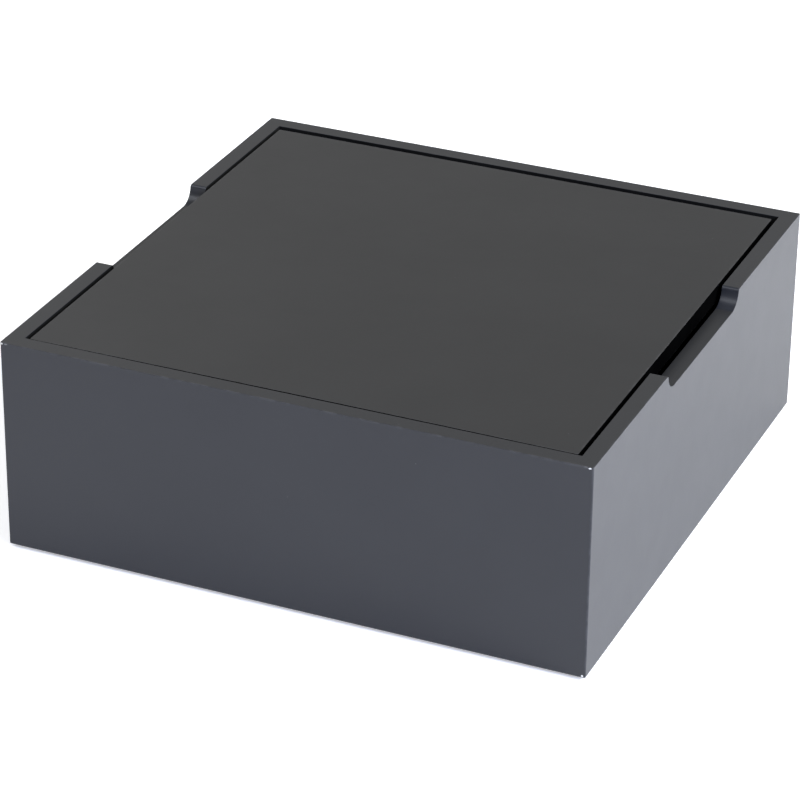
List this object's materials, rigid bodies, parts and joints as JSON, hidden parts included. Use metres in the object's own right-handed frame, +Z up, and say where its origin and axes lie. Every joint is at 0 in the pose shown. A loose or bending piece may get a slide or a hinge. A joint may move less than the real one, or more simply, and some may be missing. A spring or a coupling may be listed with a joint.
{
  "type": "napkin dispenser box",
  "caption": "Square satin-black painted wood napkin box with a loose lid that drops in flush with the rim and finger notches in two side walls.",
  "frame": {"origin": "centre of the footprint, on the surface that the foot pads stand on", "axes": "+X right-hand side, +Y back, +Z up; the finger notches are in the left and right walls"},
  "size_m": [0.205, 0.205, 0.076],
  "materials": {
    "body_lacquer": "satin black lacquer sprayed over fibreboard, faint orange peel",
    "lid_lacquer": "satin black lacquer sprayed over fibreboard, faint orange peel",
    "inner_lacquer": "thin matt black coat over fibreboard and softwood",
    "zinc_steel": "bright zinc plating",
    "felt": "black needle felt"
  },
  "bodies": {
    "box": {"front_wall": "body_lacquer", "right_wall": "body_lacquer", "back_wall": "body_lacquer", "left_wall": "body_lacquer", "base_panel": "inner_lacquer", "corner_post_front_left": "inner_lacquer", "corner_post_front_right": "inner_lacquer", "corner_post_back_right": "inner_lacquer", "corner_post_back_left": "inner_lacquer", "base_screw_front_left": "zinc_steel", "base_screw_front_right": "zinc_steel", "base_screw_back_right": "zinc_steel", "base_screw_back_left": "zinc_steel", "corner_pins_front_left": "zinc_steel", "corner_pins_front_right": "zinc_steel", "corner_pins_back_right": "zinc_steel", "corner_pins_back_left": "zinc_steel", "foot_pad_front_left": "felt", "foot_pad_front_right": "felt", "foot_pad_back_right": "felt", "foot_pad_back_left": "felt"},
    "lid": {"lid_panel": "lid_lacquer"}
  },
  "joints": [
    {"name": "lid_lift", "type": "slide", "parent": "box", "child": "lid", "axis": [0, 0, 1], "range_m": [0, 0.1]}
  ]
}
